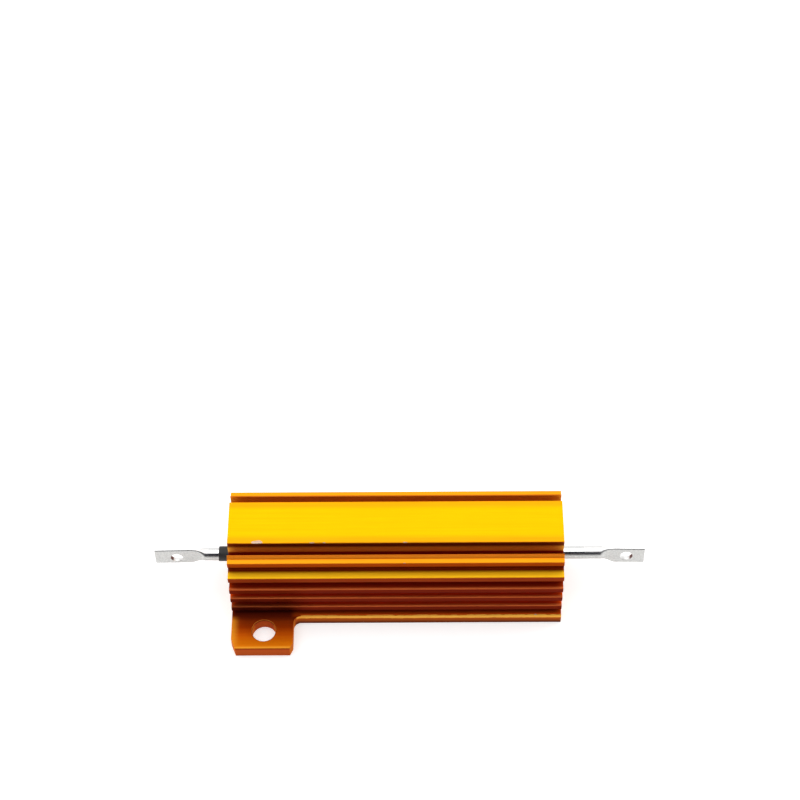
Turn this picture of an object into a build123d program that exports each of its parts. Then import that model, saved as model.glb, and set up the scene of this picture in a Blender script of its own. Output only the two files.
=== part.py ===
from build123d import *
import os

os.makedirs("parts", exist_ok=True)

# An aluminium housed wirewound power resistor, in millimetres. X runs along the extrusion, the ribs
# face +Y and -Y, and +Z is up. The origin lies on the mounting face, midway between the two fixing
# holes.

# Extruded housing: length, height, width over the ribs, and the bore
body_length = 50.0
body_height = 15.5
rib_width = 15.6
bore_diameter = 9.0
bore_below_middle = 0.95

# Foot, which stands out a little below the ribs
base_thickness = 2.1
base_projection = 0.5

# Ribs, as shares of the height between the foot and the shoulder
rib_count = 3
rib_depth = 1.35
rib_start_share = 0.0877
rib_pitch_share = 0.2889
rib_thickness_share = 0.142

# Shoulder above the ribs, and the fin above the shoulder's ledge
shoulder_setback = 0.2
shoulder_thickness = 1.25
fin_setback = 1.23
undercut_depth = 0.48
undercut_height = 1.1
fin_face_height = 1.1
fin_land_width = 0.74
fin_drop = 1.4

# Raised rim inside the fin, and the slot between the rim and the plateau
rim_slope_width = 0.28
rim_width = 0.15
rim_drop = 0.9
slot_width = 1.55
slot_depth = 3.4

# Corner radii of the extrusion
plateau_radius = 0.12
tip_radius = 0.18
root_radius = 0.25
base_edge_radius = 0.35
fin_radius = 0.12

# Mounting ears, left on two opposite corners when the rest of the foot is milled away
ear_length = 9.35
ear_reach = 5.6
ear_end_cut_x = 0.67
ear_end_cut_y = 1.7
ear_inner_cut_x = 0.45
ear_inner_cut_y = 1.0
ear_root_radius = 1.1
fixing_hole_diameter = 3.6
fixing_inset_from_end = 4.9
fixing_inset_from_tip = 3.15
fixing_hole_edge_break = 0.15

# Wound element inside the bore
core_diameter = 5.6
core_inset = 6.0
cap_overlap = 4.0
cap_wall = 0.4
cap_end_thickness = 0.5
winding_wire_diameter = 0.35

# Terminals: round wire, pressed flat and pierced at the outer end
wire_diameter = 2.05
terminal_reach_left = 11.8
terminal_reach_right = 12.8
blade_length_left = 6.1
blade_length_right = 5.6
blade_width = 3.45
blade_thickness = 0.65
press_run = 1.4
flare_run = 1.7
flare_radius = 1.2
lug_hole_diameter = 1.9
lug_hole_drop = 0.45
lug_hole_inset_left = 3.3
lug_hole_inset_right = 2.75

# Seals in the two mouths of the bore
seal_depth = 3.0
seal_recess = 0.3
sleeve_wall = 0.12
sleeve_length_left = 2.1
sleeve_length_right = 0.4

# Places that follow from the sizes above
half_length = body_length / 2
bore_axis_height = body_height / 2 - bore_below_middle
rib_tip = rib_width / 2
rib_root = rib_tip - rib_depth
base_edge = rib_tip + base_projection
ear_span = 2 * (base_edge + ear_reach)
fixing_spacing_x = body_length - 2 * fixing_inset_from_end
fixing_spacing_y = ear_span - 2 * fixing_inset_from_tip
seal_outer_face = half_length - seal_recess
seal_inner_face = seal_outer_face - seal_depth
core_end = half_length - core_inset
cap_rim = core_end - cap_overlap
element_end = core_end + cap_end_thickness
wire_radius = wire_diameter / 2


def round_bar(diameter, start, end):
    """A round bar on the axis of the bore, between two places along X."""
    disc = Plane.YZ.offset(start) * Pos(0, bore_axis_height) * Circle(diameter / 2)
    return extrude(disc, end - start)


def mirrored_end(piece):
    """The same piece at the other end of the housing, turned about the vertical axis."""
    return piece.rotate(Axis.Z, 180)


def half_section():
    """One side of the extrusion's outline as (y, z, corner radius), from the foot to the plateau."""
    fin_top = body_height - fin_drop
    fin_bottom = fin_top - fin_face_height
    ledge = fin_bottom - undercut_height
    shoulder_bottom = ledge - shoulder_thickness
    ribbed_height = shoulder_bottom - base_thickness

    points = [
        (base_edge, 0, 0),
        (base_edge, base_thickness, base_edge_radius),
        (rib_root, base_thickness, root_radius),
    ]
    for number in range(rib_count):
        start = rib_start_share + number * rib_pitch_share
        bottom = base_thickness + start * ribbed_height
        top = bottom + rib_thickness_share * ribbed_height
        points += [
            (rib_root, bottom, root_radius),
            (rib_tip, bottom, tip_radius),
            (rib_tip, top, tip_radius),
            (rib_root, top, root_radius),
        ]

    shoulder = rib_tip - shoulder_setback
    fin_outer = shoulder - fin_setback
    fin_inner = fin_outer - fin_land_width
    rim_outer = fin_inner - rim_slope_width
    slot_outer = rim_outer - rim_width
    plateau_edge = slot_outer - slot_width
    undercut = fin_outer - undercut_depth
    rim_top = body_height - rim_drop
    slot_floor = body_height - slot_depth
    points += [
        (rib_root, shoulder_bottom, root_radius),
        (shoulder, shoulder_bottom, tip_radius),
        (shoulder, ledge, tip_radius),
        (undercut, ledge, root_radius),
        (undercut, fin_bottom, root_radius),
        (fin_outer, fin_bottom, fin_radius),
        (fin_outer, fin_top, fin_radius),
        (fin_inner, fin_top, 0),
        (rim_outer, rim_top, 0),
        (slot_outer, rim_top, 0),
        (slot_outer, slot_floor, root_radius),
        (plateau_edge, slot_floor, root_radius),
        (plateau_edge, body_height, plateau_radius),
    ]
    return points


def extrusion():
    """The finned bar with its bore, cut to length."""
    right = half_section()
    left = [(-y, z, radius) for y, z, radius in reversed(right)]
    outline = right + left
    corners = [(y, z) for y, z, radius in outline]
    radii = [radius for y, z, radius in outline]
    section = make_face(Plane.YZ * FilletPolyline(*corners, radius=radii, close=True))
    bar = extrude(section, half_length, both=True)
    return bar - round_bar(bore_diameter, -half_length, half_length)


def ear():
    """The ear at the left end, in front, with its fixing hole and its milled root."""
    end = -half_length
    inner = end + ear_length
    tip = -ear_span / 2
    edge = -base_edge
    corners = [
        (end, -rib_root),
        (end, tip + ear_end_cut_y),
        (end + ear_end_cut_x, tip),
        (inner - ear_inner_cut_x, tip),
        (inner, tip + ear_inner_cut_y),
        (inner, edge),
        (inner + 2 * ear_root_radius, edge),
        (inner + 2 * ear_root_radius, -rib_root),
    ]
    radii = [0, 0, 0, 0, 0, ear_root_radius, 0, 0]
    plate = extrude(make_face(FilletPolyline(*corners, radius=radii, close=True)), base_thickness)
    # The far strip of the plate only backs the root radius, so its top stays under the lip's edge
    strip = Pos(inner + ear_root_radius, edge, base_thickness - base_edge_radius) * Box(
        2 * ear_root_radius, 2 * base_edge_radius, base_edge_radius,
        align=(Align.MIN, Align.CENTER, Align.MIN),
    )
    return plate - strip


def fixing_hole():
    """The cutter for the left front fixing hole, with its upper edge broken."""
    radius = fixing_hole_diameter / 2
    standing = (Align.CENTER, Align.CENTER, Align.MIN)
    hanging = (Align.CENTER, Align.CENTER, Align.MAX)
    drill = Cylinder(radius, base_thickness, align=standing)
    mouth = Cone(radius, radius + fixing_hole_edge_break, fixing_hole_edge_break, align=hanging)
    return Pos(-fixing_spacing_x / 2, -fixing_spacing_y / 2, 0) * (
        drill + Pos(0, 0, base_thickness) * mouth
    )


def housing():
    """Extrusion and both ears, one piece of aluminium."""
    body = extrusion()
    for place in (ear(), mirrored_end(ear())):
        body += place
    for hole in (fixing_hole(), mirrored_end(fixing_hole())):
        body -= hole
    return body


def ceramic_core():
    """The rod that carries the winding."""
    return round_bar(core_diameter, -core_end, core_end)


def end_cap():
    """A drawn steel cup pressed over the right end of the core."""
    cup = round_bar(core_diameter + 2 * cap_wall, cap_rim, element_end)
    return cup - round_bar(core_diameter, cap_rim, core_end)


def resistance_winding():
    """The close wound layer of resistance wire between the two caps, drawn as one sleeve."""
    sleeve = round_bar(core_diameter + 2 * winding_wire_diameter, -cap_rim, cap_rim)
    return sleeve - round_bar(core_diameter, -cap_rim, cap_rim)


def terminal(reach, blade_length, hole_inset):
    """The right terminal: a wire from the cap outwards, with a pressed and pierced blade."""
    tip = half_length + reach
    flat_start = tip - blade_length
    wire = round_bar(wire_diameter, element_end, tip)

    # Seen from the side the pressed metal spreads from the wire to the width of the blade
    half_blade = blade_width / 2
    upper = [(flat_start - flare_run, wire_radius), (flat_start, half_blade), (tip, half_blade)]
    lower = [(x, -z) for x, z in reversed(upper)]
    spread = [0, flare_radius, 0, 0, flare_radius, 0]
    outline = FilletPolyline(*upper, *lower, radius=spread, close=True)
    side_view = Plane.XZ * Pos(0, bore_axis_height) * make_face(outline)
    blank = wire + extrude(side_view, wire_radius, both=True)

    # Seen from above the press leaves the wire round and thins it down to the blade
    half_thin = blade_thickness / 2
    upper = [(element_end, wire_diameter), (flat_start - press_run, wire_diameter),
             (flat_start - press_run, wire_radius), (flat_start, half_thin), (tip, half_thin)]
    lower = [(x, -y) for x, y in reversed(upper)]
    pressed = [0, 0, 0, flare_radius, 0, 0, flare_radius, 0, 0, 0]
    outline = FilletPolyline(*upper, *lower, radius=pressed, close=True)
    press = extrude(make_face(outline), bore_axis_height + wire_diameter + half_blade)
    piece = blank & press

    hole_height = bore_axis_height - lug_hole_drop
    hole = Plane.XZ * Pos(tip - hole_inset, hole_height) * Circle(lug_hole_diameter / 2)
    return piece - extrude(hole, wire_radius, both=True)


def end_seal(sleeve_length):
    """The compound that closes the right mouth of the bore and creeps out along the wire."""
    plug = round_bar(bore_diameter, seal_inner_face, seal_outer_face)
    sleeve = round_bar(wire_diameter + 2 * sleeve_wall, seal_outer_face, half_length + sleeve_length)
    return plug + sleeve - round_bar(wire_diameter, seal_inner_face, half_length + sleeve_length)


def insulating_filling(held):
    """The compound moulded round the wound element, which fills the bore from seal to seal."""
    filling = round_bar(bore_diameter, -seal_inner_face, seal_inner_face)
    for piece in held:
        filling -= piece
    return filling


core = ceramic_core()
winding = resistance_winding()
cap_right = end_cap()
cap_left = mirrored_end(cap_right)
terminal_right = terminal(terminal_reach_right, blade_length_right, lug_hole_inset_right)
terminal_left = mirrored_end(terminal(terminal_reach_left, blade_length_left, lug_hole_inset_left))

nodes = {
    "housing": housing(),
    "ceramic_core": core,
    "resistance_winding": winding,
    "end_cap_left": cap_left,
    "end_cap_right": cap_right,
    "terminal_left": terminal_left,
    "terminal_right": terminal_right,
    "insulating_filling": insulating_filling(
        [core, winding, cap_left, cap_right, terminal_left, terminal_right]
    ),
    "end_seal_left": mirrored_end(end_seal(sleeve_length_left)),
    "end_seal_right": end_seal(sleeve_length_right),
}
for name, solid in nodes.items():
    export_step(solid, f"parts/{name}.step")
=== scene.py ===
import math

import bmesh
import bpy
from mathutils import Euler, Matrix, Vector, noise


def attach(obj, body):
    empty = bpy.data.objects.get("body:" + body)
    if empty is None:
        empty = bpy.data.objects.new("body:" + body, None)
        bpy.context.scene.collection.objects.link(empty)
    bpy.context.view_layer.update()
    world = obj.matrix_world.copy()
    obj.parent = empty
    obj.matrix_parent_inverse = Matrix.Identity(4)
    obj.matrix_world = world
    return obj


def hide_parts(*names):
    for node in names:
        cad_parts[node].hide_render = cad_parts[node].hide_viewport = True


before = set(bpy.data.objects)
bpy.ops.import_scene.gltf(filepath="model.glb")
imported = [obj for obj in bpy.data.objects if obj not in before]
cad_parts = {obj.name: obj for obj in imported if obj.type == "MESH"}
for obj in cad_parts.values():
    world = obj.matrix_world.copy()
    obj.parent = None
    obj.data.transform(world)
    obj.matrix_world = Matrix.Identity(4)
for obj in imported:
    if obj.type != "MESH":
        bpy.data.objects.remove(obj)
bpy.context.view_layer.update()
MM = 0.001


# Housing

# One length of finned aluminium extrusion, sawn square, its foot milled back to two ears. It was
# etched satin and dyed gold by anodising after all cutting, so that cut faces carry the colour too.
# Knocks it took since then go through the thin dyed skin and show the bare metal.

def add_node(tree, kind, sockets=(), **settings):
    """A shader node with its settings, and its sockets set to values or linked to other sockets."""
    node = tree.nodes.new(kind)
    for name, value in settings.items():
        setattr(node, name, value)
    for name, value in dict(sockets).items():
        if isinstance(value, bpy.types.NodeSocket):
            tree.links.new(value, node.inputs[name])
        else:
            node.inputs[name].default_value = value
    return node


def add_math(tree, operation, first, second=0.0, third=0.0, clamp=False):
    node = add_node(tree, "ShaderNodeMath", {0: first, 1: second, 2: third},
                    operation=operation, use_clamp=clamp)
    return node.outputs[0]


def add_step(tree, value, start, end):
    """0 before start, 1 past end, and a smooth change between them, upwards or downwards."""
    node = add_node(tree, "ShaderNodeMapRange", {"Value": value, "From Min": start, "From Max": end},
                    interpolation_type="SMOOTHSTEP")
    return node.outputs["Result"]


def add_rise(tree, value, start, end):
    """A step whose start and end are places in millimetres."""
    return add_step(tree, value, start * MM, end * MM)


def add_mix(tree, share, first, second):
    node = add_node(tree, "ShaderNodeMix", {0: share, 6: first, 7: second}, data_type="RGBA")
    return node.outputs[2]


def new_group(name, inputs, outputs):
    """An empty node group with named inputs (name: default value) and outputs (name: socket type)."""
    group = bpy.data.node_groups.new(name, "ShaderNodeTree")
    for label, default in inputs.items():
        socket = group.interface.new_socket(label, in_out="INPUT", socket_type="NodeSocketFloat")
        socket.default_value = default
    for label, kind in outputs.items():
        group.interface.new_socket(label, in_out="OUTPUT", socket_type=kind)
    return group, group.nodes.new("NodeGroupInput"), group.nodes.new("NodeGroupOutput")


def new_material(name):
    material = bpy.data.materials.new(name)
    material.use_nodes = True
    return material, material.node_tree, material.node_tree.nodes["Principled BSDF"]


def lengthwise_grain():
    """Fine lines along X, as a die or a draw plate leaves them."""
    group, given, result = new_group(
        "lengthwise_grain",
        {"Lines per metre": 3000.0, "Breaks per metre": 60.0, "Contrast": 1.0},
        {"Lines": "NodeSocketFloat"},
    )
    place = add_node(group, "ShaderNodeTexCoord").outputs["Object"]
    stretch = add_node(group, "ShaderNodeCombineXYZ", {
        "X": given.outputs["Breaks per metre"],
        "Y": given.outputs["Lines per metre"],
        "Z": given.outputs["Lines per metre"],
    })
    stretched = add_node(group, "ShaderNodeVectorMath", {0: place, 1: stretch.outputs[0]},
                         operation="MULTIPLY").outputs[0]
    lines = add_node(group, "ShaderNodeTexNoise",
                     {"Vector": stretched, "Scale": 1.0, "Detail": 4.0, "Roughness": 0.65})
    centred = add_math(group, "SUBTRACT", lines.outputs["Fac"], 0.5)
    scaled = add_math(group, "MULTIPLY_ADD", centred, given.outputs["Contrast"], 0.5, clamp=True)
    group.links.new(scaled, result.inputs["Lines"])
    return group


grain_group = lengthwise_grain()


def add_band(tree, value, low, high, soft):
    """1 between low and high, falling to 0 over the soft width on both sides, all in millimetres."""
    return add_math(tree, "MULTIPLY", add_rise(tree, value, low - soft, low),
                    add_rise(tree, value, high + soft, high))


def add_meeting(tree, *masks):
    """The mask of the place where all the given masks meet."""
    share = masks[0]
    for mask in masks[1:]:
        share = add_math(tree, "MULTIPLY", share, mask)
    return share


def add_paint(tree, under, colour, *masks):
    """Lays a colour over another where all the masks meet."""
    return add_mix(tree, add_meeting(tree, *masks), under, colour)


# The tones of the dyed skin, with light and shade painted in by place and by which way a face faces:
# painted light where a land lies open, painted shade where faces mirror only each other
GOLD = {name: (*tone, 1) for name, tone in {
    "side": (0.38, 0.064, 0.003),
    "slope": (1.0, 0.34, 0.02),
    "land": (0.97, 0.380, 0.011),
    "rim": (0.50, 0.085, 0.005),
    "plateau": (1.0, 0.550, 0.0015),
    "plateau edge": (0.98, 0.430, 0.0045),
    "slot wall": (0.20, 0.040, 0.002),
    "slot wall middle": (1.0, 0.50, 0.06),
    "ledge": (1.0, 0.58, 0.013),
    "shoulder": (0.255, 0.038, 0.006),
    "undercut": (0.30, 0.028, 0.001),
    "rib face": (0.15, 0.014, 0.001),
    "rib top": (0.80, 0.08, 0.004),
    "upper rib top": (0.40, 0.035, 0.002),
    "rib edge": (0.70, 0.15, 0.038),
    "rib root": (0.50, 0.050, 0.003),
    "rib above an ear": (0.05, 0.006, 0.004),
    "foot bottom": (0.13, 0.035, 0.012),
    "foot face": (0.46, 0.105, 0.014),
    "foot rounding": (0.90, 0.30, 0.013),
    "foot top": (0.50, 0.060, 0.003),
    "painted highlight line": (1.0, 0.53, 0.08),
    "ear face": (0.46, 0.090, 0.020),
    "ear face edge": (0.22, 0.035, 0.003),
    "ear end": (0.74, 0.25, 0.014),
    "hole edge": (1.0, 0.42, 0.07),
    "sawn end": (0.62, 0.20, 0.012),
    "underside": (0.80, 0.33, 0.014),
}.items()}

# The tones along the top of an ear, painted shade at the root and painted light towards the tip, at
# shares of the way from its root to its tip
EAR_ROOT = 8.3
EAR_TIP = 14.1
EAR_TONES = [
    (0.00, (0.16, 0.014, 0.003)), (0.17, (0.36, 0.042, 0.003)), (0.34, (0.40, 0.044, 0.001)),
    (0.56, (0.58, 0.095, 0.002)), (0.80, (0.62, 0.150, 0.002)), (0.89, (0.68, 0.180, 0.004)),
    (0.93, (0.85, 0.360, 0.030)), (0.97, (0.45, 0.110, 0.004)),
]

# Heights above the mounting face between which one part of the section gives way to the next
FOOT_END = (2.4, 2.2)
RIBS_END = (10.9, 10.7)
LEDGE_END = (13.06, 12.96)
SLOT_END = (15.42, 15.3)
PLATEAU_START = (15.30, 15.49)

# The lighter band of painted reflection half way up the walls of the slots: from, to, and the soft
# width beside it
SLOT_MIDDLE = (13.4, 14.0, 0.75)


def upper_gold(tree, at):
    """Plateau, fins and the ledges below them, in painted light and shade, and the mask of the slots
    between them.
    """
    height, side, up, open_up = at["height"], at["side"], at["up"], at["open up"]
    # Painted light and shade by facing: darkest on the sides, lighter on slopes, brightest on open
    # lands
    colour = add_mix(tree, add_step(tree, up, 0.05, 0.6), GOLD["side"], GOLD["slope"])
    colour = add_paint(tree, colour, GOLD["land"], open_up)
    # Painted shade along the rim band of each fin
    rim = add_band(tree, height, 14.4, 14.75, 0.1)
    colour = add_paint(tree, colour, GOLD["rim"], open_up, rim)
    # Painted light on the plateau, yellowest away from its edges
    plateau = add_mix(tree, add_rise(tree, side, 2.1, 3.1), GOLD["plateau"], GOLD["plateau edge"])
    colour = add_paint(tree, colour, plateau, add_rise(tree, height, *PLATEAU_START), open_up)
    # Painted shade on the slot walls, with a painted reflection of the lit slot floor half way up
    slot_wall = add_mix(tree, add_band(tree, height, *SLOT_MIDDLE),
                        GOLD["slot wall"], GOLD["slot wall middle"])
    slot_wall = add_paint(tree, slot_wall, GOLD["slope"], add_rise(tree, side, 3.75, 3.9))
    inside_slot = add_meeting(tree, add_band(tree, side, 3.63, 5.21, 0.05),
                              add_rise(tree, height, *SLOT_END))
    colour = add_mix(tree, inside_slot, colour, slot_wall)
    # Painted light on the ledge, painted shade on the shoulder faces, and painted shadow in the
    # undercut below each fin
    below_fin = add_rise(tree, height, *LEDGE_END)
    colour = add_paint(tree, colour, GOLD["ledge"], below_fin, open_up)
    colour = add_paint(tree, colour, GOLD["shoulder"], below_fin, add_step(tree, up, 0.5, 0.1))
    colour = add_paint(tree, colour, GOLD["undercut"], below_fin, add_rise(tree, side, 6.8, 6.2))
    return colour, inside_slot


def rib_gold(tree, at):
    """Ribs in painted light and shade, with a painted highlight along each upper edge, and painted
    shade above an ear.
    """
    height, side, up = at["height"], at["side"], at["up"]
    # Painted shade on the rib faces and painted light on their tops, by facing
    rib = add_mix(tree, add_step(tree, up, 0.1, 0.8), GOLD["rib face"], GOLD["rib top"])
    # Painted shade on the tops of the upper ribs
    rib = add_paint(tree, rib, GOLD["upper rib top"], add_rise(tree, height, 8.4, 8.8),
                    add_step(tree, up, 0.1, 0.8))
    # Painted highlight along the outer upper edge of each rib
    rib = add_paint(tree, rib, GOLD["rib edge"], add_rise(tree, side, 7.25, 7.6),
                    add_step(tree, up, 0.1, 0.5))
    rib = add_paint(tree, rib, GOLD["rib root"], add_rise(tree, side, 6.7, 6.5))
    # Painted shade on the ribs above an ear
    above_ear = add_meeting(tree, at["ear corner"], add_rise(tree, at["length"], 12.0, 18.0),
                            add_rise(tree, height, 7.5, 3.0))
    return add_paint(tree, rib, GOLD["rib above an ear"], above_ear, 0.6)


def ear_gold(tree, at):
    """The top of an ear: painted shade, darkest at the root, and painted light in yellow along the sawn
    edges.
    """
    out = add_node(tree, "ShaderNodeMapRange", {
        "Value": at["side"], "From Min": EAR_ROOT * MM, "From Max": EAR_TIP * MM}).outputs["Result"]
    tones = add_node(tree, "ShaderNodeValToRGB", {"Fac": out})
    ramp = tones.color_ramp.elements
    for number, (place, tone) in enumerate(EAR_TONES):
        mark = ramp[number] if number < 2 else ramp.new(place)
        mark.position = place
        mark.color = (*tone, 1)
    # Painted light along the sawn end of the ear
    return add_paint(tree, tones.outputs["Color"], GOLD["ear end"],
                     add_rise(tree, at["length"], 23.6, 24.9), add_rise(tree, at["side"], 8.0, 9.3))


def foot_gold(tree, at):
    """Foot and ears: a painted highlight line, broken by noise, along the edge, over a face with
    painted shade that darkens downwards.
    """
    height, side, up = at["height"], at["side"], at["up"]
    highlight_breaks = add_node(tree, "ShaderNodeTexNoise", {
        "Vector": at["place"], "Scale": 420.0, "Detail": 5.0, "Roughness": 0.7}).outputs["Fac"]
    wavy_height = add_math(tree, "MULTIPLY_ADD", highlight_breaks, 0.5 * MM, height)
    # Painted highlight along the rounded edge of the foot, broken and made wavy by noise
    painted_highlight_line = add_meeting(tree, add_rise(tree, side, 8.08, 8.16), add_rise(tree, height, 1.2, 1.3),
                            add_band(tree, wavy_height, 1.74, 2.22, 0.12),
                            add_step(tree, highlight_breaks, 0.26, 0.42), add_rise(tree, side, 8.6, 8.4))
    far_out = add_rise(tree, side, 8.5, 9.0)
    # Painted shade on the foot's face, darker towards the floor
    foot = add_mix(tree, add_rise(tree, height, 0.1, 1.3), GOLD["foot bottom"], GOLD["foot face"])
    # Painted highlight on the foot's roundings
    foot = add_paint(tree, foot, GOLD["foot rounding"], add_step(tree, up, 0.05, 0.4))
    foot = add_paint(tree, foot, GOLD["ear face"], far_out)
    # Painted shade in a dark line along the top of each ear's face
    foot = add_paint(tree, foot, GOLD["ear face edge"], far_out, add_rise(tree, height, 1.75, 1.95))
    # Painted shadow on the top of the foot
    foot = add_paint(tree, foot, GOLD["foot top"], add_step(tree, up, 0.55, 0.85))
    # Painted highlight along the foot's rounded edge
    foot = add_paint(tree, foot, GOLD["painted highlight line"], painted_highlight_line)
    on_ear = add_meeting(tree, add_rise(tree, at["length"], 15.2, 16.2), at["ear corner"])
    on_ear = add_math(tree, "MAXIMUM", on_ear, add_rise(tree, side, 8.2, 8.6))
    foot = add_paint(tree, foot, ear_gold(tree, at), on_ear, add_step(tree, up, 0.5, 0.9))
    # Painted highlight on the sloped hole edges of the ears
    foot = add_paint(tree, foot, GOLD["hole edge"], far_out, add_step(tree, up, 0.45, 0.6),
                     add_step(tree, up, 0.9, 0.8))
    return foot, painted_highlight_line


def gold_anodised():
    """Satin aluminium under a gold dyed skin, with light and shade painted into its colour: yellowest
    where the flat lands lie open to the top.
    """
    material, tree, surface = new_material("gold_anodised_aluminium")
    place = add_node(tree, "ShaderNodeTexCoord")
    along = add_node(tree, "ShaderNodeSeparateXYZ", {0: place.outputs["Object"]}).outputs
    facing = add_node(tree, "ShaderNodeSeparateXYZ", {0: place.outputs["Normal"]}).outputs
    at = {
        "place": place.outputs["Object"],
        "height": along["Z"],
        "side": add_math(tree, "ABSOLUTE", along["Y"]),
        "length": add_math(tree, "ABSOLUTE", along["X"]),
        "up": facing["Z"],
        "open up": add_step(tree, facing["Z"], 0.55, 0.98),
        "ear corner": add_step(tree, add_math(tree, "MULTIPLY", along["X"], along["Y"]), 0.0, MM * MM),
    }
    height, up = at["height"], at["up"]
    colour, inside_slot = upper_gold(tree, at)
    foot, painted_highlight_line = foot_gold(tree, at)
    colour = add_paint(tree, colour, rib_gold(tree, at), add_rise(tree, height, *RIBS_END))
    colour = add_paint(tree, colour, foot, add_rise(tree, height, *FOOT_END))
    end = add_step(tree, add_math(tree, "ABSOLUTE", facing["X"]), 0.7, 0.95)
    colour = add_paint(tree, colour, GOLD["sawn end"], end)
    colour = add_paint(tree, colour, GOLD["underside"], add_step(tree, up, -0.6, -0.95),
                       add_rise(tree, height, 0.5, 0.2))

    grain = add_node(tree, "ShaderNodeGroup", node_tree=grain_group)
    grain.inputs["Contrast"].default_value = 1.6
    lines = grain.outputs["Lines"]
    grey = add_node(tree, "ShaderNodeCombineColor", {"Red": lines, "Green": lines, "Blue": lines})
    tint = add_node(tree, "ShaderNodeMix", {0: 0.22, 6: colour, 7: grey.outputs[0]},
                    data_type="RGBA", blend_type="SOFT_LIGHT")
    tree.links.new(tint.outputs[2], surface.inputs["Base Color"])

    cloud = add_node(tree, "ShaderNodeTexNoise", {"Vector": at["place"], "Scale": 220.0, "Detail": 4.0})
    roughness = add_math(tree, "MULTIPLY_ADD", cloud.outputs["Fac"], 0.12, 0.40)
    roughness = add_math(tree, "MULTIPLY_ADD", lines, 0.10, roughness)
    roughness = add_math(tree, "MULTIPLY_ADD", inside_slot, -0.05, roughness)
    tree.links.new(roughness, surface.inputs["Roughness"])

    # The ledge, the slots' walls and the painted highlight line scatter more light than the smooth skin
    chalky = add_meeting(tree, add_band(tree, height, 11.5, 12.3, 0.2), at["open up"])
    chalky = add_math(tree, "MAXIMUM", chalky,
                      add_meeting(tree, inside_slot, add_band(tree, height, *SLOT_MIDDLE)))
    chalky = add_math(tree, "MAXIMUM", chalky, painted_highlight_line)
    tree.links.new(add_math(tree, "MULTIPLY_ADD", chalky, -0.15, 0.75), surface.inputs["Metallic"])
    surface.inputs["Specular IOR Level"].default_value = 0.15
    surface.inputs["Specular Tint"].default_value = (0.95, 0.35, 0.03, 1)
    bump = add_node(tree, "ShaderNodeBump", {"Strength": 0.25, "Distance": 0.02 * MM, "Height": lines})
    tree.links.new(bump.outputs["Normal"], surface.inputs["Normal"])
    return material


def bare_aluminium():
    """The scraped metal in a knock."""
    material, tree, surface = new_material("bare_aluminium")
    place = add_node(tree, "ShaderNodeTexCoord")
    scrape = add_node(tree, "ShaderNodeTexNoise",
                      {"Vector": place.outputs["Object"], "Scale": 2600.0, "Detail": 3.0})
    colour = add_mix(tree, scrape.outputs["Fac"], (0.38, 0.24, 0.18, 1), (0.78, 0.58, 0.44, 1))
    tree.links.new(colour, surface.inputs["Base Color"])
    tree.links.new(add_math(tree, "MULTIPLY_ADD", scrape.outputs["Fac"], 0.3, 0.3),
                   surface.inputs["Roughness"])
    surface.inputs["Metallic"].default_value = 1.0
    bump = add_node(tree, "ShaderNodeBump",
                    {"Strength": 0.5, "Distance": 0.04 * MM, "Height": scrape.outputs["Fac"]})
    tree.links.new(bump.outputs["Normal"], surface.inputs["Normal"])
    return material


def merged_copy(node_name, name, sharp_angle):
    """A CAD node's mesh with its loose triangles joined, flat faces made whole and edges marked."""
    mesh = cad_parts[node_name].data.copy()
    mesh.materials.clear()
    shape = bmesh.new()
    shape.from_mesh(mesh)
    bmesh.ops.remove_doubles(shape, verts=shape.verts, dist=0.0004 * MM)
    bmesh.ops.dissolve_limit(shape, angle_limit=math.radians(0.5), verts=shape.verts,
                             edges=shape.edges, delimit={"NORMAL"})
    finish_shape(shape, mesh, sharp_angle)
    piece = bpy.data.objects.new(name, mesh)
    bpy.context.scene.collection.objects.link(piece)
    return piece


def finish_shape(shape, mesh, sharp_angle):
    """Writes the shape to the mesh, shaded smooth up to the given angle between two faces."""
    for face in shape.faces:
        face.smooth = True
    for edge in shape.edges:
        edge.smooth = edge.is_manifold and edge.calc_face_angle() < math.radians(sharp_angle)
    shape.to_mesh(mesh)
    shape.free()
    if mesh.has_custom_normals:
        mesh.normals_split_custom_set([(0, 0, 0)] * len(mesh.loops))


def even_normals(piece):
    """Keeps the flats flat beside their rounded edges."""
    modifier = piece.modifiers.new("even_normals", "WEIGHTED_NORMAL")
    modifier.keep_sharp = True
    modifier.weight = 100


housing = merged_copy("housing", "anodised_housing", 52)
housing.data.materials.append(gold_anodised())
housing.data.materials.append(bare_aluminium())

# Knocks as (x, y, z, half length, half width, half depth, turn about X), in millimetres and degrees
KNOCKS = [
    (-20.5, -3.60, 15.60, 0.95, 0.56, 0.25, 8),
    (-12.4, -3.68, 15.56, 0.55, 0.18, 0.16, 0),
    (-10.6, -3.68, 15.55, 0.38, 0.16, 0.14, 0),
    (1.4, -3.68, 15.55, 0.48, 0.18, 0.14, 0),
    (1.3, -6.42, 14.14, 0.40, 0.14, 0.14, 0),
    (-6.8, -8.34, 2.14, 0.45, 0.30, 0.16, 20),
    (6.5, -8.34, 2.12, 0.35, 0.26, 0.18, 20),
    (21.1, -8.32, 2.12, 0.40, 0.28, 0.18, 20),
]


KNOCK_LUMPS = 0.14


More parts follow.
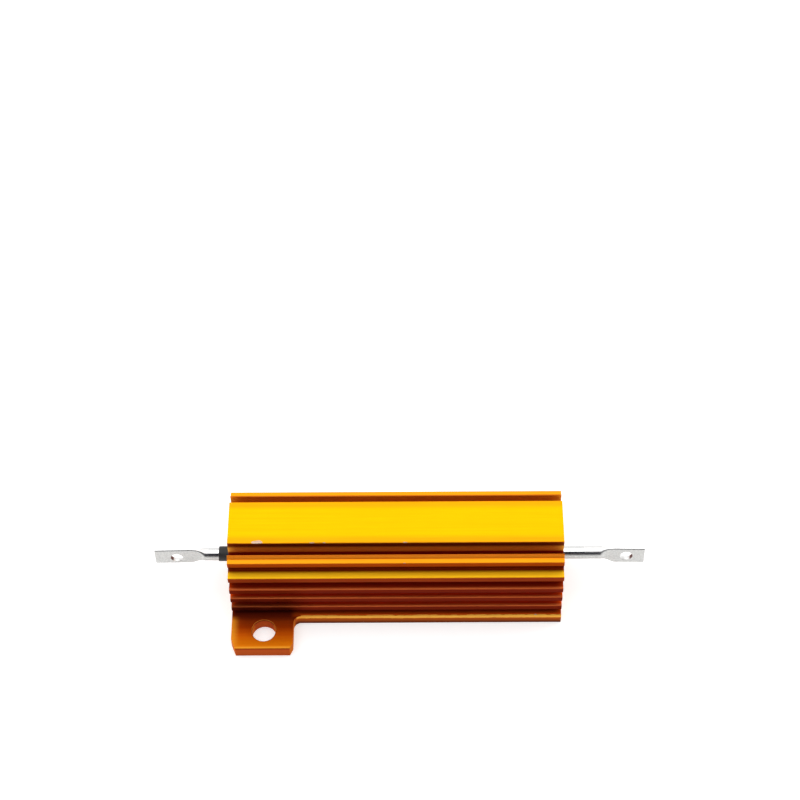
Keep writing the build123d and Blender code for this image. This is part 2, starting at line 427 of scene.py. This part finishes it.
def knock_tools():
    """Lumpy pebbles that are pressed into the housing's edges to leave its knocks."""
    mesh = bpy.data.meshes.new("knock_tools")
    shape = bmesh.new()
    for number, (x, y, z, long, wide, deep, turn) in enumerate(KNOCKS):
        pebble = bmesh.ops.create_icosphere(shape, subdivisions=3, radius=1.0)["verts"]
        for vertex in pebble:
            swell = 1 + KNOCK_LUMPS * noise.noise(vertex.co * 1.7 + Vector((number * 7.3, 0, 0)))
            vertex.co = vertex.co * swell
        bmesh.ops.scale(shape, vec=Vector((long, wide, deep)) * MM, verts=pebble)
        bmesh.ops.rotate(shape, verts=pebble, cent=(0, 0, 0),
                         matrix=Matrix.Rotation(math.radians(turn), 3, "X"))
        bmesh.ops.translate(shape, verts=pebble, vec=Vector((x, y, z)) * MM)
    for face in shape.faces:
        face.smooth = True
    shape.to_mesh(mesh)
    shape.free()
    tools = bpy.data.objects.new("knock_tools", mesh)
    bpy.context.scene.collection.objects.link(tools)
    return tools


# Edges shorter than this are slivers that the cut leaves, in millimetres
SLIVER = 0.003


def cut_away(piece, tools, slot):
    """Cuts the tools out of the piece and gives the cut faces the material in that slot."""
    tools.data.materials.clear()
    tools.data.materials.append(piece.data.materials[slot])
    modifier = piece.modifiers.new("cut", "BOOLEAN")
    modifier.operation = "DIFFERENCE"
    modifier.solver = "EXACT"
    modifier.use_self = True
    modifier.material_mode = "TRANSFER"
    modifier.object = tools
    bpy.context.view_layer.update()
    cut = bpy.data.meshes.new_from_object(piece.evaluated_get(bpy.context.evaluated_depsgraph_get()))
    piece.modifiers.remove(modifier)
    shape = bmesh.new()
    shape.from_mesh(cut)
    bmesh.ops.remove_doubles(shape, verts=shape.verts, dist=SLIVER * MM)
    bmesh.ops.dissolve_degenerate(shape, edges=shape.edges, dist=SLIVER * MM)
    shape.to_mesh(cut)
    shape.free()
    piece.data = cut
    bpy.data.objects.remove(tools)


cut_away(housing, knock_tools(), 1)
even_normals(housing)
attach(housing, "root")
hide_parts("housing")


# Wound element

# A ceramic rod with a close layer of resistance wire and a steel cup pressed on each end, moulded
# into the bore with a pale compound. All of it is hidden once the seals are in.

def matt_ceramic(name, colour, shade, roughness):
    material, tree, surface = new_material(name)
    place = add_node(tree, "ShaderNodeTexCoord")
    mottle = add_node(tree, "ShaderNodeTexNoise",
                      {"Vector": place.outputs["Object"], "Scale": 900.0, "Detail": 5.0})
    tree.links.new(add_mix(tree, mottle.outputs["Fac"], shade, colour), surface.inputs["Base Color"])
    surface.inputs["Roughness"].default_value = roughness
    bump = add_node(tree, "ShaderNodeBump",
                    {"Strength": 0.3, "Distance": 0.05 * MM, "Height": mottle.outputs["Fac"]})
    tree.links.new(bump.outputs["Normal"], surface.inputs["Normal"])
    return material


def plain_metal(name, colour, shade, roughness):
    material, tree, surface = new_material(name)
    grain = add_node(tree, "ShaderNodeGroup", node_tree=grain_group)
    lines = grain.outputs["Lines"]
    tree.links.new(add_mix(tree, lines, shade, colour), surface.inputs["Base Color"])
    tree.links.new(add_math(tree, "MULTIPLY_ADD", lines, 0.15, roughness),
                   surface.inputs["Roughness"])
    surface.inputs["Metallic"].default_value = 1.0
    return material


def refinish(node_name, material):
    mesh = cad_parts[node_name].data
    mesh.materials.clear()
    mesh.materials.append(material)


refinish("ceramic_core", matt_ceramic("ceramic", (0.86, 0.84, 0.78, 1), (0.72, 0.69, 0.62, 1), 0.7))
refinish("insulating_filling",
         matt_ceramic("filling_compound", (0.80, 0.79, 0.75, 1), (0.62, 0.60, 0.56, 1), 0.85))
refinish("resistance_winding",
         plain_metal("resistance_alloy", (0.45, 0.43, 0.40, 1), (0.30, 0.28, 0.26, 1), 0.35))
plated_steel = plain_metal("plated_steel", (0.72, 0.71, 0.68, 1), (0.55, 0.54, 0.52, 1), 0.25)
refinish("end_cap_left", plated_steel)
refinish("end_cap_right", plated_steel)


# Terminals

# Tinned wire welded to the end cups. Outside the housing it is pressed flat between two dies, which
# spreads it into a blade with rounded edges, and a hole is punched for the lead.

def tinned_wire():
    """Hot tinned metal: bright where it is round, and dull and speckled where the dies pressed it, with
    painted shade darkening the pressed flats.
    """
    material, tree, surface = new_material("tinned_wire")
    place = add_node(tree, "ShaderNodeTexCoord")
    patches = add_node(tree, "ShaderNodeTexNoise",
                       {"Vector": place.outputs["Object"], "Scale": 650.0, "Detail": 5.0})
    grain = add_node(tree, "ShaderNodeGroup", node_tree=grain_group)
    grain.inputs["Breaks per metre"].default_value = 250.0
    facing = add_node(tree, "ShaderNodeSeparateXYZ", {0: place.outputs["Normal"]}).outputs
    flat_side = add_step(tree, add_math(tree, "ABSOLUTE", facing["Y"]), 0.55, 0.85)
    bright = add_mix(tree, patches.outputs["Fac"], (0.80, 0.80, 0.79, 1), (0.96, 0.96, 0.95, 1))
    speckle = add_node(tree, "ShaderNodeTexNoise",
                       {"Vector": place.outputs["Object"], "Scale": 4200.0, "Detail": 3.0})
    # The pressed flats: dull speckled tin, darkened further by painted shade
    dull_and_shaded = add_mix(tree, add_step(tree, speckle.outputs["Fac"], 0.3, 0.7),
                   (0.47, 0.47, 0.46, 1), (0.60, 0.60, 0.585, 1))
    tree.links.new(add_mix(tree, flat_side, bright, dull_and_shaded), surface.inputs["Base Color"])
    roughness = add_math(tree, "MULTIPLY_ADD", patches.outputs["Fac"], 0.08, 0.05)
    roughness = add_math(tree, "MULTIPLY_ADD", grain.outputs["Lines"], 0.05, roughness)
    roughness = add_math(tree, "MULTIPLY_ADD", flat_side, 0.25, roughness)
    at = add_node(tree, "ShaderNodeSeparateXYZ", {0: place.outputs["Object"]}).outputs
    length = add_math(tree, "ABSOLUTE", at["X"])
    neck = add_meeting(tree, add_band(tree, length, 28.8, 31.8, 0.5),
                       add_step(tree, facing["Z"], 0.75, 0.9))
    roughness = add_math(tree, "MULTIPLY_ADD", neck, 0.35, roughness)
    tree.links.new(roughness, surface.inputs["Roughness"])
    surface.inputs["Metallic"].default_value = 1.0
    height = add_math(tree, "MULTIPLY_ADD", grain.outputs["Lines"], 0.3, patches.outputs["Fac"])
    bump = add_node(tree, "ShaderNodeBump", {"Strength": 0.20, "Distance": 0.04 * MM, "Height": height})
    tree.links.new(bump.outputs["Normal"], surface.inputs["Normal"])
    return material


def punched_wall():
    """The wall of the lead's hole, with painted shade on its outer side, which faces back toward the
    housing.
    """
    material, tree, surface = new_material("punched_wall")
    place = add_node(tree, "ShaderNodeTexCoord")
    at = add_node(tree, "ShaderNodeSeparateXYZ", {0: place.outputs["Object"]}).outputs
    facing = add_node(tree, "ShaderNodeSeparateXYZ", {0: place.outputs["Normal"]}).outputs
    inward = add_math(tree, "MULTIPLY", facing["X"], add_math(tree, "SIGN", at["X"]))
    # Painted shade on the outer side of the hole's wall
    shaded_side = add_step(tree, inward, -0.45, -0.8)
    tree.links.new(add_mix(tree, shaded_side, (0.92, 0.92, 0.91, 1), (0.15, 0.07, 0.07, 1)),
                   surface.inputs["Base Color"])
    surface.inputs["Roughness"].default_value = 0.4
    surface.inputs["Metallic"].default_value = 0.8
    return material


def new_piece(name, shape, *materials):
    """The finished shape as an object in the row's frame, made in millimetres."""
    bmesh.ops.scale(shape, vec=(MM, MM, MM), verts=shape.verts)
    bmesh.ops.recalc_face_normals(shape, faces=shape.faces)
    mesh = bpy.data.meshes.new(name)
    finish_shape(shape, mesh, 40)
    for material in materials:
        mesh.materials.append(material)
    piece = bpy.data.objects.new(name, mesh)
    bpy.context.scene.collection.objects.link(piece)
    return piece


# Sizes and places in millimetres, along the wire from the middle of the housing
BORE_HEIGHT = 6.8
WIRE_RADIUS = 1.025
CUP_END = 19.5
HALF_BLADE_WIDTH = 1.725
HALF_BLADE_THICKNESS = 0.325
PRESS_RUN = 1.3
FLARE_RUN = 2.8
FLARE_LEAD = 1.6
BEND_START = 27.5
LUG_HOLE_RADIUS = 0.95

# The share of its thickness that the wire loses before the dies close, how squarely the pressed
# flats then turn into the rounded edges, and how finely the wire is divided
NOSE_SQUEEZE = 0.3
EDGE_SQUARENESS = 3
WIRE_SIDES = 160
NECK_RINGS = 22
BLADE_RINGS = 12


def eased(share):
    share = min(max(share, 0.0), 1.0)
    return share * share * (3 - 2 * share)


def pressed_wire(tip, blade, sag, droop, twist):
    """Round wire drawn out from the cup, then squeezed between two dies over its last stretch."""
    flat_start = tip - blade
    shape = bmesh.new()
    ring = bmesh.ops.create_circle(shape, segments=WIRE_SIDES, radius=WIRE_RADIUS,
                                    cap_ends=True)["verts"]
    bmesh.ops.rotate(shape, verts=ring, matrix=Matrix.Rotation(math.radians(90), 3, "Y"))
    bmesh.ops.translate(shape, verts=ring, vec=(CUP_END, 0, 0))
    neck = flat_start - BEND_START
    lengths = [BEND_START - CUP_END]
    lengths += [neck / NECK_RINGS] * NECK_RINGS + [blade / BLADE_RINGS] * BLADE_RINGS
    rims = list(shape.edges)
    for length in lengths:
        out = bmesh.ops.extrude_edge_only(shape, edges=rims)["geom"]
        rims = [item for item in out if isinstance(item, bmesh.types.BMEdge)]
        ring = [item for item in out if isinstance(item, bmesh.types.BMVert)]
        bmesh.ops.translate(shape, vec=(length, 0, 0), verts=ring)
    bmesh.ops.edgeloop_fill(shape, edges=rims)
    for vertex in shape.verts:
        beyond = vertex.co.x - flat_start
        spread = eased((beyond + FLARE_LEAD) / FLARE_RUN)
        vertex.co.z *= 1 + spread * (HALF_BLADE_WIDTH / WIRE_RADIUS - 1)
        pressed = min(max(beyond / PRESS_RUN + 1, 0.0), 1.0)
        vertex.co.y *= 1 - NOSE_SQUEEZE * pressed
        resistance = abs(vertex.co.y * pressed / HALF_BLADE_THICKNESS)
        vertex.co.y /= (1 + resistance ** EDGE_SQUARENESS) ** (1 / EDGE_SQUARENESS)
        vertex.co = Matrix.Rotation(math.radians(twist * spread), 3, "X") @ vertex.co
        vertex.co.z -= sag * spread + droop * max(beyond, 0.0)
    bmesh.ops.translate(shape, vec=(0, 0, BORE_HEIGHT), verts=shape.verts)
    return shape


def lug_punch(place, drop):
    """The punch for the hole in a blade, set a little below the middle."""
    shape = bmesh.new()
    bmesh.ops.create_cone(shape, segments=48, radius1=LUG_HOLE_RADIUS,
                          radius2=LUG_HOLE_RADIUS, depth=4, cap_ends=True)
    bmesh.ops.rotate(shape, verts=shape.verts, matrix=Matrix.Rotation(math.radians(90), 3, "X"))
    bmesh.ops.translate(shape, vec=(place, 0, BORE_HEIGHT - drop), verts=shape.verts)
    return shape


def turned_to_left(shape):
    bmesh.ops.rotate(shape, verts=shape.verts, cent=(0, 0, 0),
                     matrix=Matrix.Rotation(math.radians(180), 3, "Z"))
    return shape


def eased_edges(piece, width):
    """The slight rounding that pressing and punching leave on sharp edges."""
    modifier = piece.modifiers.new("eased_edges", "BEVEL")
    modifier.limit_method = "ANGLE"
    modifier.angle_limit = math.radians(50)
    modifier.width = width
    modifier.segments = 2


# For each side: reach of the tip, length of the blade, place and drop of its hole, sag of the bent
# wire, droop of the blade per millimetre, and twist of the blade in degrees
TERMINALS = {
    "left": (36.8, 6.4, 33.5, 0.62, 0.42, 0.02, 1.5),
    "right": (37.8, 5.5, 35.05, 0.70, 0.70, 0.03, -5.0),
}
tinned = tinned_wire()
punched = punched_wall()
for side_name, (reach, blade, hole_place, hole_drop, sag, droop, twist) in TERMINALS.items():
    blank = pressed_wire(reach, blade, sag, droop, twist)
    punch = lug_punch(hole_place, hole_drop)
    if side_name == "left":
        turned_to_left(blank)
        turned_to_left(punch)
    terminal = new_piece(f"tinned_terminal_{side_name}", blank, tinned, punched)
    cut_away(terminal, new_piece("lug_punch", punch), 1)
    eased_edges(terminal, 0.05 * MM)
    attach(terminal, "root")
    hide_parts(f"terminal_{side_name}")


# End seals

# Black compound poured into both mouths of the bore over the moulded filling. It sets a little below
# the sawn end and creeps out along the wire as a collar.

def black_compound():
    material, tree, surface = new_material("black_compound")
    place = add_node(tree, "ShaderNodeTexCoord")
    lumps = add_node(tree, "ShaderNodeTexNoise",
                     {"Vector": place.outputs["Object"], "Scale": 1400.0, "Detail": 4.0})
    colour = add_mix(tree, lumps.outputs["Fac"], (0.012, 0.012, 0.013, 1), (0.034, 0.033, 0.033, 1))
    tree.links.new(colour, surface.inputs["Base Color"])
    tree.links.new(add_math(tree, "MULTIPLY_ADD", lumps.outputs["Fac"], 0.25, 0.45),
                   surface.inputs["Roughness"])
    bump = add_node(tree, "ShaderNodeBump",
                    {"Strength": 0.5, "Distance": 0.08 * MM, "Height": lumps.outputs["Fac"]})
    tree.links.new(bump.outputs["Normal"], surface.inputs["Normal"])
    return material


BORE_RADIUS = 4.5
SEAL_INNER_FACE = 21.7
SEAL_RIPPLE = 0.14


def poured_seal(collar_end):
    """A plug turned round the wire, with a meniscus at the bore and an uneven collar on the wire."""
    profile = [
        (SEAL_INNER_FACE, WIRE_RADIUS), (SEAL_INNER_FACE, BORE_RADIUS), (24.70, BORE_RADIUS),
        (24.56, 4.25), (24.50, 3.6), (24.52, 2.4), (24.62, 1.7), (24.85, 1.30), (25.15, 1.15),
        (collar_end - 0.12, 1.14), (collar_end, 1.09), (collar_end, WIRE_RADIUS),
    ]
    shape = bmesh.new()
    corners = [shape.verts.new((x, 0, radius)) for x, radius in profile]
    edges = [shape.edges.new(pair) for pair in zip(corners, corners[1:] + corners[:1])]
    bmesh.ops.spin(shape, geom=corners + edges, cent=(0, 0, 0), axis=(1, 0, 0),
                   angle=math.radians(360), steps=64, use_merge=True)
    bmesh.ops.remove_doubles(shape, verts=shape.verts, dist=0.001)
    for vertex in shape.verts:
        out = math.hypot(vertex.co.y, vertex.co.z)
        if vertex.co.x > 24.4 and out > WIRE_RADIUS + 0.02:
            lump = noise.noise(vertex.co * 1.3)
            vertex.co.x += SEAL_RIPPLE * lump * min(1.0, (BORE_RADIUS - out) * 2)
    bmesh.ops.translate(shape, vec=(0, 0, BORE_HEIGHT), verts=shape.verts)
    return shape


COLLAR_ENDS = {"left": 27.0, "right": 25.3}
compound = black_compound()
for side_name, collar_end in COLLAR_ENDS.items():
    plug = poured_seal(collar_end)
    if side_name == "left":
        turned_to_left(plug)
    seal = new_piece(f"compound_seal_{side_name}", plug, compound)
    even_normals(seal)
    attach(seal, "root")
    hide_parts(f"end_seal_{side_name}")


# Floor, light and camera

# The resistor stands on a pale sheet in an even, soft studio light that comes mostly from above and
# behind. The front of the room is dimmer, and a dark card in front of the resistor draws the dark
# band on the wire and the dark line along its blades.

def pale_floor():
    material, tree, surface = new_material("pale_floor")
    surface.inputs["Base Color"].default_value = (0.90, 0.90, 0.90, 1)
    surface.inputs["Roughness"].default_value = 0.9
    surface.inputs["Specular IOR Level"].default_value = 0.0
    rays = add_node(tree, "ShaderNodeLightPath").outputs
    seen = add_math(tree, "MAXIMUM", rays["Is Camera Ray"], rays["Is Glossy Ray"])
    seen = add_math(tree, "MAXIMUM", seen, rays["Is Transmission Ray"])
    surface.inputs["Emission Color"].default_value = (1, 1, 1, 1)
    tree.links.new(add_math(tree, "MULTIPLY", seen, 0.45), surface.inputs["Emission Strength"])
    return material


scene = bpy.context.scene
scene.view_settings.view_transform = "Standard"

floor_mesh = bpy.data.meshes.new("floor")
floor_shape = bmesh.new()
bmesh.ops.create_circle(floor_shape, cap_ends=True, segments=96, radius=3.0)
floor_shape.to_mesh(floor_mesh)
floor_shape.free()
floor_mesh.materials.append(pale_floor())
floor = bpy.data.objects.new("floor", floor_mesh)
scene.collection.objects.link(floor)

world = bpy.data.worlds.new("studio")
scene.world = world
world.use_nodes = True
room = world.node_tree
direction = add_node(room, "ShaderNodeTexCoord").outputs["Generated"]
toward = add_node(room, "ShaderNodeSeparateXYZ", {0: direction}).outputs
aside = add_math(room, "ABSOLUTE", toward["X"])
behind = add_math(room, "MULTIPLY_ADD", toward["Y"], 0.94,
                  add_math(room, "MULTIPLY", toward["Z"], 0.34))
dim_front = (0.30, 0.30, 0.31, 1)
bright_back = (0.93, 0.93, 0.93, 1)
dark_card = (0.02, 0.02, 0.03, 1)
room_light = add_mix(room, add_step(room, behind, -0.30, 0.45), dim_front, bright_back)
room_light = add_paint(room, room_light, dark_card, add_step(room, toward["Z"], 0.975, 0.91),
                       add_step(room, aside, 0.40, 0.26), add_step(room, toward["Y"], -0.10, -0.30))
room.links.new(room_light, room.nodes["Background"].inputs["Color"])

softbox_data = bpy.data.lights.new("softbox", "AREA")
softbox_data.shape = "RECTANGLE"
softbox_data.size = 0.76
softbox_data.size_y = 0.56
softbox_data.energy = 1.55
softbox = bpy.data.objects.new("softbox", softbox_data)
softbox.location = (0, 0.01, 0.50)
scene.collection.objects.link(softbox)

camera_data = bpy.data.cameras.new("camera")
camera_data.lens = 93.908
camera = bpy.data.objects.new("camera", camera_data)
camera.location = (0.003383, -0.168998, 0.277287)
camera.rotation_euler = Euler((math.radians(36.183), math.radians(0.578), math.radians(0.0318)))
scene.collection.objects.link(camera)
scene.camera = camera
